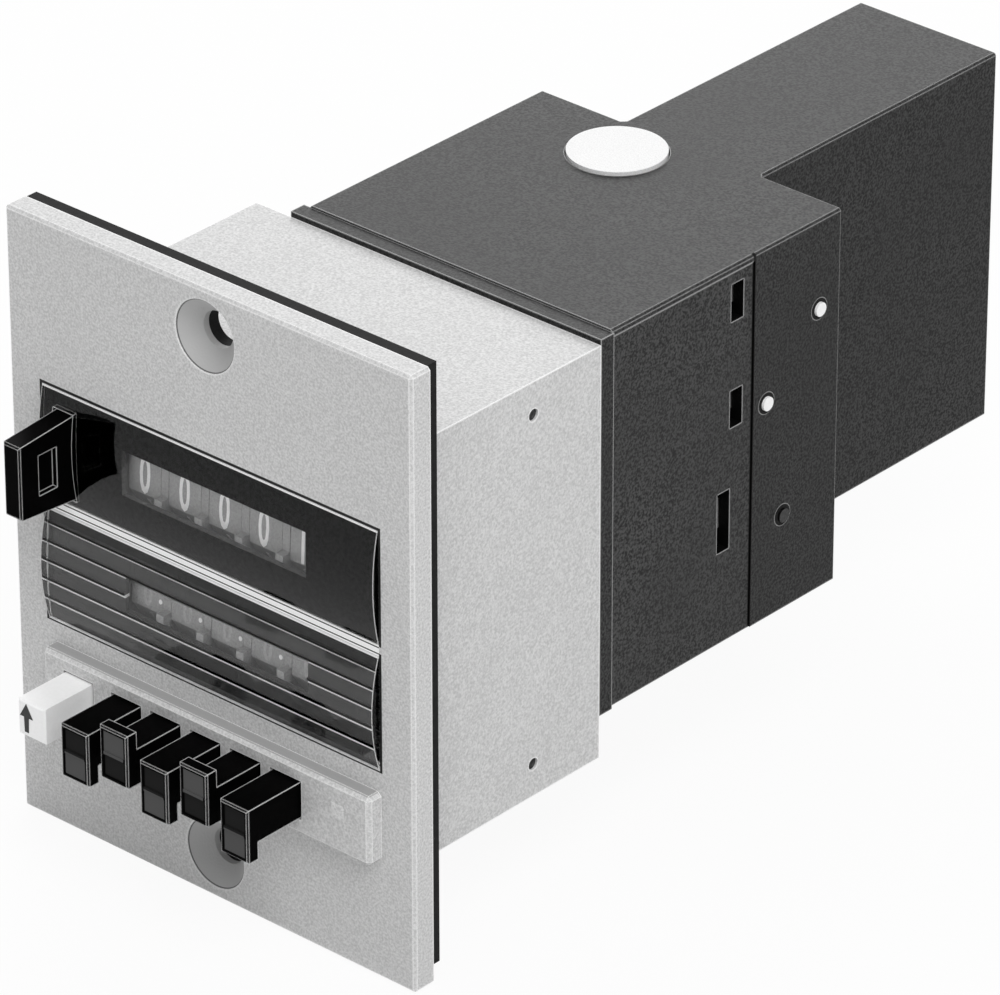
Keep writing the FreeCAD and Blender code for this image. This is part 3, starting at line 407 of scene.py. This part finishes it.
gasketLook = {
    "tone": 0.012,
    "grain": 0.3,
    "grainScale": 3000.0,
    "roughness": 0.8,
    "specular": 0.15,
}
wheelLook = {
    "tone": 0.34,
    "grain": 0.15,
    "grainScale": 3800.0,
    "roughness": 0.6,
    "specular": 0.2,
}
presetWheelLook = dict(wheelLook, tone=0.36)
presetNumberLook = dict(wheelLook, tone=0.44)
gearLook = {
    "tone": 0.62,
    "grain": 0.06,
    "grainScale": 2500.0,
    "roughness": 0.5,
}
plateSteelLook = {
    "tone": 0.42,
    "grain": 0.12,
    "grainScale": 1800.0,
    "roughness": 0.38,
    "metal": 1.0,
}
shaftSteelLook = dict(plateSteelLook, tone=0.55, roughness=0.22)
springSteelLook = dict(plateSteelLook, tone=0.36, roughness=0.3)
combLook = {
    "tone": 0.02,
    "grain": 0.25,
    "grainScale": 2600.0,
    "roughness": 0.5,
}
filterLook = {
    "tone": 0.9,
    "grain": 0.08,
    "grainScale": 6000.0,
    "roughness": 0.9,
    "specular": 0.1,
    "bump": 0.9,
}
plugLook = dict(filterLook, tone=0.96, grain=0.03, roughness=0.5, bump=0.2)
screwLook = {
    "tone": 0.05,
    "grain": 0.2,
    "grainScale": 3000.0,
    "roughness": 0.35,
    "metal": 1.0,
}
valveLook = {
    "tone": 0.28,
    "grain": 0.12,
    "grainScale": 2400.0,
    "roughness": 0.55,
}
brassLook = {
    "tone": 0.5,
    "grain": 0.08,
    "grainScale": 2200.0,
    "roughness": 0.3,
    "metal": 1.0,
}
whiteKeyLook = {
    "tone": 0.98,
    "grain": 0.015,
    "cloud": 0.0,
    "grainScale": 3000.0,
    "roughness": 0.45,
    "specular": 0.3,
}

# clear convex windows

lensLook = {
    "roughness": 0.04,
    "ior": 1.3,
    "specular": 0.3,
    "rim": 0.2 * mm,
    "rimHighlightCover": 0.85,
    "highlightBands": ((17.7 * mm, 18.0 * mm), (2.25 * mm, 2.5 * mm), (-11.8 * mm, -11.6 * mm)),
    "hazeScale": 700.0,
    "hazeSpread": 0.2,
    "hazeTones": (0.92, 0.99),
}


def clearFinish(name, look):
    finish, tree = newFinish(name)
    shader = tree.nodes["Principled BSDF"]
    where, at = places(tree)
    haze = speckled(tree, where, look["hazeScale"], look["hazeSpread"])
    duller, brighter = look["hazeTones"]
    colour = blended(tree, haze, grey(duller), grey(brighter))
    rim = nearEdge(tree, look["rim"])  # painted highlight: the cut rim of the clear moulding is painted white
    # painted highlight bands along the top and bottom edges of the lenses
    for low, high in look["highlightBands"]:
        rim = work(tree, "MAXIMUM", rim, between(tree, at["z"], low, high))
    tree.links.new(colour, shader.inputs["Base Color"])
    clear = work(tree, "SUBTRACT", 1.0, work(tree, "MULTIPLY", rim, look["rimHighlightCover"]))
    tree.links.new(clear, shader.inputs["Transmission Weight"])
    shader.inputs["Roughness"].default_value = look["roughness"]
    shader.inputs["IOR"].default_value = look["ior"]
    shader.inputs["Specular IOR Level"].default_value = look["specular"]
    return finish


# one finish for each slot of the parts, and the few parts that differ from their slot

finishes = {
    "housing_grey": surfaced("housingGrey", housingLook, housingPaint),
    "bezel_grey": surfaced("bezelGrey", bezelLook, bezelPaint),
    "gasket_black": surfaced("gasketBlack", gasketLook),
    "case_dark": surfaced("caseDark", caseLook, casePaint),
    "cover_dark": surfaced("coverDark", coverLook, coverPaint),
    "wheel_grey": surfaced("wheelGrey", wheelLook),
    "gear_natural": surfaced("gearNatural", gearLook),
    "frame_steel": surfaced("frameSteel", plateSteelLook),
    "shaft_steel": surfaced("shaftSteel", shaftSteelLook),
    "spring_steel": surfaced("springSteel", springSteelLook),
    "comb_black": surfaced("combBlack", combLook),
    "filter_white": surfaced("filterWhite", filterLook),
    "plug_white": surfaced("plugWhite", plugLook),
    "screw_dark": surfaced("screwDark", screwLook),
    "valve_grey": surfaced("valveGrey", valveLook),
    "port_brass": surfaced("portBrass", brassLook),
    "key_white": surfaced("keyWhite", whiteKeyLook),
    "key_black": surfaced("buttonBlack", buttonLook),
    "mask_dark": surfaced("maskDark", maskLook),
    "lens_clear": clearFinish("lensClear", lensLook),
}
lowKeyBlack = surfaced("keyBlackLow", keyLook, keyPaint(keyLook["lowFields"]))
highKeyBlack = surfaced("keyBlackHigh", keyLook, keyPaint(keyLook["highFields"]))
ribbedMask = surfaced("maskRibbed", ribbedLook, ribPaint)
presetGrey = surfaced("wheelPale", presetWheelLook)
presetNumber = surfaced("numberPale", presetNumberLook)

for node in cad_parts.values():
    slotName = node.material_slots[0].material.name.split(".")[0]
    node.material_slots[0].material = finishes[slotName]
    node["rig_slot"] = slotName
for number in range(1, columnLook["count"] + 1):
    keyFinish = lowKeyBlack if number % 2 else highKeyBlack
    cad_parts[f"setting_key_{number}"].material_slots[0].material = keyFinish
    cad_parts[f"preset_wheel_{number}"].material_slots[0].material = presetGrey
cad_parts["preset_mask"].material_slots[0].material = ribbedMask
print("finishes set")


# modelling helpers

facing = 0.9  # a face looks along an axis where its normal's part along it is past this
roundAngle = math.radians(30)  # edges flatter than this are shaded smooth


def clearSelection():
    if bpy.context.object and bpy.context.object.mode != "OBJECT":
        bpy.ops.object.mode_set(mode="OBJECT")
    bpy.ops.object.select_all(action="DESELECT")


def pickFaces(piece, wanted):
    bpy.ops.object.mode_set(mode="EDIT")
    bpy.ops.mesh.select_mode(type="FACE")
    bpy.ops.mesh.select_all(action="DESELECT")
    bpy.ops.object.mode_set(mode="OBJECT")
    for face in piece.data.polygons:
        face.select = wanted(face.center, face.normal)
    bpy.ops.object.mode_set(mode="EDIT")


def turnOutward():  # in edit mode
    bpy.ops.mesh.select_all(action="SELECT")
    bpy.ops.mesh.normals_make_consistent(inside=False)


def smoothed(angle=roundAngle):
    bpy.ops.object.mode_set(mode="OBJECT")
    bpy.ops.object.shade_smooth_by_angle(angle=angle)


def settle(piece):  # place, turn and size go into the mesh
    bpy.ops.object.transform_apply(location=True, rotation=True, scale=True)
    return piece


def finished(piece, name, slot, body, finish=None):
    piece.name = name
    piece.data.name = name
    piece.data.materials.clear()
    piece.data.materials.append(finish or finishes[slot])
    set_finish(piece, slot)
    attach(piece, body)
    return piece


def copied(piece, move=(0, 0, 0), turn=0.0, centre=(0, 0, 0)):
    clearSelection()
    piece.select_set(True)
    bpy.context.view_layer.objects.active = piece
    bpy.ops.object.duplicate(linked=False)
    again = bpy.context.object
    pivot = Matrix.Translation(Vector(centre))
    turned = pivot @ Matrix.Rotation(turn, 4, "X") @ pivot.inverted()
    again.matrix_world = Matrix.Translation(Vector(move)) @ turned @ again.matrix_world
    return settle(again)


def spreadOut(piece, moves, name, slot):  # the piece stays, and a copy goes to each move
    pieces = [piece] + [copied(piece, move) for move in moves]
    for number, one in enumerate(pieces, 1):
        finished(one, f"{name}_{number}", slot, "housing")


def joinedAs(parts):
    clearSelection()
    for part in parts:
        part.select_set(True)
    bpy.context.view_layer.objects.active = parts[0]
    bpy.ops.object.join()
    return bpy.context.object


# pins that hold the frame in the sleeve

pinLook = {
    "radius": 0.68 * mm,
    "length": 1.7 * mm,
    "faceX": 25.4 * mm,
    "y": 19.7 * mm,
    "heights": (-21.5 * mm, 22.4 * mm),
    "edge": 0.12 * mm,
    "sides": 32,
}


def sleevePins(look):
    clearSelection()
    bpy.ops.mesh.primitive_cylinder_add(
        vertices=look["sides"],
        radius=look["radius"],
        depth=look["length"],
        location=(look["faceX"] - look["length"] / 2, look["y"], look["heights"][0]),
        rotation=(0, math.pi / 2, 0),
    )
    pin = settle(bpy.context.object)
    pickFaces(pin, lambda centre, normal: abs(normal.x) > facing)
    bpy.ops.mesh.inset(thickness=look["edge"])
    bpy.ops.mesh.inset(thickness=look["edge"], depth=-look["edge"])
    smoothed()
    rise = look["heights"][1] - look["heights"][0]
    across = look["length"] - 2 * look["faceX"]
    moves = ((0, 0, rise), (across, 0, 0), (across, 0, rise))
    spreadOut(pin, moves, "sleeve_pin", "screw_dark")


sleevePins(pinLook)
print("sleeve pins made")

# screw heads under the case floor

floorScrewLook = {
    "radius": 1.4 * mm,
    "height": 0.8 * mm,
    "rim": 0.24 * mm,
    "dome": 0.2 * mm,
    "socket": 0.75 * mm,
    "socketTaper": 0.05 * mm,
    "depth": 0.45 * mm,
    "sides": 36,
    "places": (
        (-15.0 * mm, 37.0 * mm),
        (20.5 * mm, 37.0 * mm),
        (-4.2 * mm, 108.5 * mm),
        (10.7 * mm, 108.5 * mm),
    ),
    "z": -20.2 * mm,
}


def floorScrews(look):
    clearSelection()
    firstX, firstY = look["places"][0]
    bpy.ops.mesh.primitive_cylinder_add(
        vertices=look["sides"],
        radius=look["radius"],
        depth=look["height"],
        location=(firstX, firstY, look["z"] - look["height"] / 2),
    )
    head = settle(bpy.context.object)
    pickFaces(head, lambda centre, normal: normal.z < -facing)
    bpy.ops.mesh.inset(thickness=look["rim"])
    bpy.ops.transform.translate(value=(0, 0, -look["dome"]))
    bpy.ops.mesh.inset(thickness=look["radius"] - look["rim"] - look["socket"])
    bpy.ops.mesh.inset(thickness=look["socketTaper"], depth=-look["depth"])
    smoothed()
    moves = [(x - firstX, y - firstY, 0) for x, y in look["places"][1:]]
    spreadOut(head, moves, "floor_screw", "screw_dark")


floorScrews(floorScrewLook)
print("floor screws made")

# threads of the three air ports

threadLook = {
    "radius": 2.12 * mm,
    "profile": 0.26 * mm,
    "pitch": 0.8 * mm,
    "turns": 6,
    "steps": 28,
    "merge": 0.001 * mm,
    "smooth": math.radians(40),
    "start": -19.6 * mm,
    "y": 63.9 * mm,
    "places": (-4.0 * mm, 7.0 * mm, 18.0 * mm),
}


def portThreads(look):
    clearSelection()
    bpy.ops.mesh.primitive_circle_add(
        vertices=3,
        radius=look["profile"],
        fill_type="NGON",
        location=(look["radius"], 0, 0),
        rotation=(math.pi / 2, 0, 0),
    )
    thread = settle(bpy.context.object)
    winding = thread.modifiers.new("winding", "SCREW")
    winding.axis = "Z"
    winding.screw_offset = look["pitch"]
    winding.iterations = look["turns"]
    winding.steps = look["steps"]
    winding.render_steps = look["steps"]
    winding.use_merge_vertices = True
    winding.merge_threshold = look["merge"]
    bpy.ops.object.modifier_apply(modifier="winding")
    thread.location = (look["places"][0], look["y"], look["start"])
    settle(thread)
    bpy.ops.object.mode_set(mode="EDIT")
    bpy.ops.mesh.select_all(action="SELECT")
    bpy.ops.mesh.fill_holes(sides=3)  # the two ends of the winding
    turnOutward()
    smoothed(look["smooth"])
    moves = [(x - look["places"][0], 0, 0) for x in look["places"][1:]]
    spreadOut(thread, moves, "port_thread", "port_brass")


portThreads(threadLook)
print("port threads made")

# painted shadow: dark rings round the pins in the case's right side stand in for the shaded gaps
# round them

shadowRingLook = {
    "inner": 0.85 * mm,
    "outer": 1.3 * mm,
    "proud": 0.04 * mm,
    "faceX": 25.4 * mm,
    "sides": 40,
    "places": (
        (59.3 * mm, 7.74 * mm),
        (68.3 * mm, 16.15 * mm),
        (62.45 * mm, -7.87 * mm),
    ),
}


def pinRings(look):
    clearSelection()
    firstY, firstZ = look["places"][0]
    bpy.ops.mesh.primitive_cylinder_add(
        vertices=look["sides"],
        radius=look["outer"],
        depth=2 * look["proud"],
        location=(look["faceX"], firstY, firstZ),
        rotation=(0, math.pi / 2, 0),
    )
    ring = settle(bpy.context.object)
    pickFaces(ring, lambda centre, normal: abs(normal.x) > facing)
    bpy.ops.mesh.inset(thickness=look["outer"] - look["inner"])
    bpy.ops.mesh.bridge_edge_loops()
    turnOutward()
    smoothed()
    moves = [(0, y - firstY, z - firstZ) for y, z in look["places"][1:]]
    spreadOut(ring, moves, "pin_shadow_ring", "gasket_black")


pinRings(shadowRingLook)
print("pin rings made")

# arrow on the front of the white key

arrowLook = {
    "centre": (-19.5 * mm, -14.0 * mm, -18.7 * mm),
    "head": 1.15 * mm,
    "headRise": 0.8625 * mm,
    "stem": (0.75 * mm, 1.9 * mm),
    "stemDrop": 0.665 * mm,
    "stemTaper": 0.8,
    "proud": 0.04 * mm,
}


def keyArrow(look):
    x, y, z = look["centre"]
    clearSelection()
    bpy.ops.mesh.primitive_cylinder_add(
        vertices=3,
        radius=look["head"],
        depth=2 * look["proud"],
        location=(x, y, z + look["headRise"]),
        rotation=(math.pi / 2, 0, 0),
    )
    head = settle(bpy.context.object)
    clearSelection()
    bpy.ops.mesh.primitive_cube_add(size=1.0, location=(x, y, z - look["stemDrop"]))
    stem = bpy.context.object
    stem.scale = (look["stem"][0], 2 * look["proud"], look["stem"][1])
    settle(stem)
    pickFaces(stem, lambda centre, normal: normal.z < -facing)
    bpy.ops.transform.resize(value=(look["stemTaper"], 1, 1))
    bpy.ops.object.mode_set(mode="OBJECT")
    finished(joinedAs([head, stem]), "release_arrow", "comb_black", "release_key_body")


keyArrow(arrowLook)
print("arrow made")

# pale inset tile on the blank spot of the key strip

tileLook = {
    "centre": (20.55 * mm, -6.5 * mm, -17.86 * mm),
    "size": (1.7 * mm, 0.1 * mm, 1.9 * mm),
    "edge": 0.2 * mm,
    "proud": 0.03 * mm,
    "finish": dict(mouldedLook, tone=0.7, edge=0.0),
}


def stripTile(look):
    clearSelection()
    bpy.ops.mesh.primitive_cube_add(size=1.0, location=look["centre"])
    tile = bpy.context.object
    tile.scale = look["size"]
    settle(tile)
    pickFaces(tile, lambda centre, normal: normal.y < -facing)
    bpy.ops.mesh.inset(thickness=look["edge"])
    bpy.ops.transform.translate(value=(0, -look["proud"], 0))
    bpy.ops.object.mode_set(mode="OBJECT")
    tilePale = surfaced("tilePale", look["finish"])
    finished(tile, "strip_tile", "bezel_grey", "housing", tilePale)


stripTile(tileLook)
print("strip tile made")

# grey fingers that fill the gaps between the number wheels, behind the masks

screenLook = {
    "width": 1.1 * mm,
    "frontY": -2.12 * mm,
    "thick": 0.14 * mm,
    "footY": -3.2 * mm,
    "foot": 0.8 * mm,
    "counter": (8.2 * mm, 15.2 * mm),
    "preset": (-6.3 * mm, -1.2 * mm),
}


def wheelScreen(stem, look, finish):
    low, high = look[stem]
    firstX = columnLook["first"] + columnLook["pitch"] / 2
    clearSelection()
    bpy.ops.mesh.primitive_cube_add(
        size=1.0,
        location=(firstX, look["frontY"] + look["thick"] / 2, (low + high) / 2),
    )
    finger = bpy.context.object
    finger.scale = (look["width"], look["thick"], high - low)
    settle(finger)
    for side, end in ((-1, low), (1, high)):  # a foot at each end reaches forward to the mask
        pickFaces(finger, lambda centre, normal: normal.z * side > facing)
        bpy.ops.mesh.extrude_region_move(
            TRANSFORM_OT_translate={"value": (0, 0, side * look["foot"])}
        )
        pickFaces(
            finger,
            lambda centre, normal: normal.y < -facing and (centre.z - end) * side > 0,
        )
        bpy.ops.mesh.extrude_region_move(
            TRANSFORM_OT_translate={"value": (0, look["footY"] - look["frontY"], 0)}
        )
        bpy.ops.object.mode_set(mode="OBJECT")
    fingers = [finger] + [
        copied(finger, (step * columnLook["pitch"], 0, 0))
        for step in range(1, columnLook["count"] - 1)
    ]
    finished(joinedAs(fingers), f"{stem}_screen", "wheel_grey", "housing", finish)


wheelScreen("counter", screenLook, finishes["wheel_grey"])
wheelScreen("preset", screenLook, presetGrey)
print("screens made")

# numbers on the wheels

typeLook = {
    "curveSteps": 3,
    "extrude": 0.5,
    "offset": 0.016,
    "merge": 0.0005,
    "widest": 0.55,  # width and height of a wide figure in this type, as parts of its size
    "tallest": 0.72,
}
counterLook = {
    "width": 1.85 * mm,
    "height": 4.5 * mm,
    "drop": 0.42 * mm,
    "aside": (0.0, -0.05 * mm, -0.12 * mm, -0.3 * mm, -0.55 * mm),
    "proud": 0.04 * mm,
    "shown": (0, 0, 0, 0, 1),
    "axis": (6.46 * mm, 11.0 * mm),
    "frontY": -2.1 * mm,
}
presetLook = {
    "width": 1.5 * mm,
    "height": 2.6 * mm,
    "drop": 0.3 * mm,
    "aside": (0.0, 0.0, 0.0, 0.0, 0.0),
    "proud": 0.03 * mm,
    "shown": (0, 0, 0, 0, 0),
    "axis": (3.7 * mm, -4.35 * mm),
    "frontY": -2.1 * mm,
    "dotRadius": 0.26 * mm,
    "dotSides": 16,
    "dotX": 1.95 * mm,
    "dotDrop": 0.55 * mm,
}
numbersAround = 10


def turnTo(number):
    return number * 2 * math.pi / numbersAround


def digitShape(digit, look):
    clearSelection()
    bpy.ops.object.text_add()
    text = bpy.context.object
    text.data.body = str(digit)
    text.data.resolution_u = typeLook["curveSteps"]
    text.data.extrude = typeLook["extrude"]
    text.data.offset = typeLook["offset"]
    bpy.ops.object.convert(target="MESH")
    shape = bpy.context.object
    bpy.ops.object.mode_set(mode="EDIT")
    bpy.ops.mesh.select_all(action="SELECT")
    bpy.ops.mesh.remove_doubles(threshold=typeLook["merge"])
    turnOutward()
    bpy.ops.object.mode_set(mode="OBJECT")
    bpy.ops.object.origin_set(type="ORIGIN_GEOMETRY", center="BOUNDS")
    shape.scale = (
        look["width"] / typeLook["widest"],
        look["height"] / typeLook["tallest"],
        2 * look["proud"],
    )
    shape.rotation_euler = (math.pi / 2, 0, 0)
    shape.location = (0, look["frontY"], look["axis"][1] - look["drop"])
    return settle(shape)


def dotShape(look):
    clearSelection()
    bpy.ops.mesh.primitive_cylinder_add(
        vertices=look["dotSides"],
        radius=look["dotRadius"],
        depth=2 * look["proud"],
        location=(look["dotX"], look["frontY"], look["axis"][1] - look["dotDrop"]),
        rotation=(math.pi / 2, 0, 0),
    )
    return settle(bpy.context.object)


def dressWheels(stem, name, look, shapes, finish):  # a ring of shapes, copied to each wheel
    centre = (0, *look["axis"])
    turned = [
        copied(shape, turn=turnTo(number), centre=centre) for number, shape in enumerate(shapes)
    ]
    for shape in shapes:
        bpy.data.objects.remove(shape)
    ring = joinedAs(turned)
    for column, x in enumerate(columns):
        move = (x + look["aside"][column], 0, 0)
        one = copied(ring, move, -turnTo(look["shown"][column]), centre)
        body = f"{stem}_wheel_{column + 1}_body"
        finished(one, f"{stem}_{name}_{column + 1}", "plug_white", body, finish)
    bpy.data.objects.remove(ring)


counterDigits = [digitShape(digit, counterLook) for digit in range(numbersAround)]
dressWheels("counter", "numbers", counterLook, counterDigits, finishes["plug_white"])
presetDigits = [digitShape(digit, presetLook) for digit in range(numbersAround)]
dressWheels("preset", "numbers", presetLook, presetDigits, presetNumber)
presetDots = [dotShape(presetLook) for _ in range(numbersAround)]
dressWheels("preset", "dots", presetLook, presetDots, finishes["plug_white"])
print("numbers made")

# floor, world, lamps and camera

floorLook = {
    "size": 8.0,
    "z": cadBox[0][2] - 0.1 * mm,
    "tone": 0.8,
    "paler": 1.02,
    "grainScale": 60.0,
    "grainSpread": 0.2,
    "roughness": 0.9,
    "glow": 0.93,
}


def shownWhite(tree):
    path = tree.nodes.new("ShaderNodeLightPath")
    seen = work(tree, "MAXIMUM", path.outputs["Is Camera Ray"], path.outputs["Is Glossy Ray"])
    return work(tree, "MAXIMUM", seen, path.outputs["Is Transmission Ray"])


def studioFloor(look):
    clearSelection()
    bpy.ops.mesh.primitive_plane_add(size=look["size"], location=(0, 0, look["z"]))
    floor = settle(bpy.context.object)
    floor.name = "studioFloor"
    finish, tree = newFinish("floorPale")
    shader = tree.nodes["Principled BSDF"]
    where, _ = places(tree)
    grain = speckled(tree, where, look["grainScale"], look["grainSpread"])
    colour = blended(tree, grain, grey(look["tone"]), grey(look["tone"] * look["paler"]))
    tree.links.new(colour, shader.inputs["Base Color"])
    shader.inputs["Roughness"].default_value = look["roughness"]
    glow = tree.nodes.new("ShaderNodeEmission")
    glow.inputs["Strength"].default_value = 1.0
    mix = tree.nodes.new("ShaderNodeMixShader")
    tree.links.new(work(tree, "MULTIPLY", shownWhite(tree), look["glow"]), mix.inputs[0])
    tree.links.new(shader.outputs[0], mix.inputs[1])
    tree.links.new(glow.outputs[0], mix.inputs[2])
    tree.links.new(mix.outputs[0], tree.nodes["Material Output"].inputs[0])
    floor.data.materials.append(finish)


studioFloor(floorLook)

worldLook = {
    "light": 0.45,  # on the object
    "shown": 1.0,  # to the camera
}


def studioWorld(look):
    world = bpy.data.worlds.new("studioWorld")
    scene.world = world
    world.use_nodes = True
    tree = world.node_tree
    background = tree.nodes["Background"]
    background.inputs["Color"].default_value = grey(1.0)
    strength = tree.nodes.new("ShaderNodeMapRange")
    tree.links.new(shownWhite(tree), strength.inputs["Value"])
    strength.inputs["To Min"].default_value = look["light"]
    strength.inputs["To Max"].default_value = look["shown"]
    tree.links.new(strength.outputs["Result"], background.inputs["Strength"])


studioWorld(worldLook)

lampLook = {
    "key": {"toward": (0.5, -0.3, 0.8), "distance": 1.5, "size": 0.9, "power": 13.0},
    "rear": {"toward": (-0.58, 0.65, 0.487), "distance": 1.2, "size": 0.8, "power": 7.0},
}
lampAim = Vector((0.0, 0.04, 0.0))


def softLamp(name, look):
    clearSelection()
    toward = Vector(look["toward"]).normalized()
    bpy.ops.object.light_add(type="AREA", location=lampAim + toward * look["distance"])
    lamp = bpy.context.object
    lamp.name = name
    lamp.data.shape = "SQUARE"
    lamp.data.size = look["size"]
    lamp.data.energy = look["power"]
    lamp.rotation_euler = (-toward).to_track_quat("-Z", "Y").to_euler()


for lampName, look in lampLook.items():
    softLamp(f"softbox_{lampName}", look)

cameraLook = {
    "place": (0.531085, -0.550539, 0.436584),
    "forward": (-0.58258, 0.65105, -0.48656),
    "roll": -0.064,
    "lens": 289.46,
    "nearest": 0.01,
}


def photoCamera(look):
    clearSelection()
    bpy.ops.object.camera_add(location=look["place"])
    camera = bpy.context.object
    level = Vector(look["forward"]).to_track_quat("-Z", "Y")
    rolled = level @ Quaternion((0, 0, 1), math.radians(look["roll"]))
    camera.rotation_euler = rolled.to_euler()
    camera.data.lens = look["lens"]
    camera.data.clip_start = look["nearest"]
    scene.camera = camera


photoCamera(cameraLook)
print("stage set")
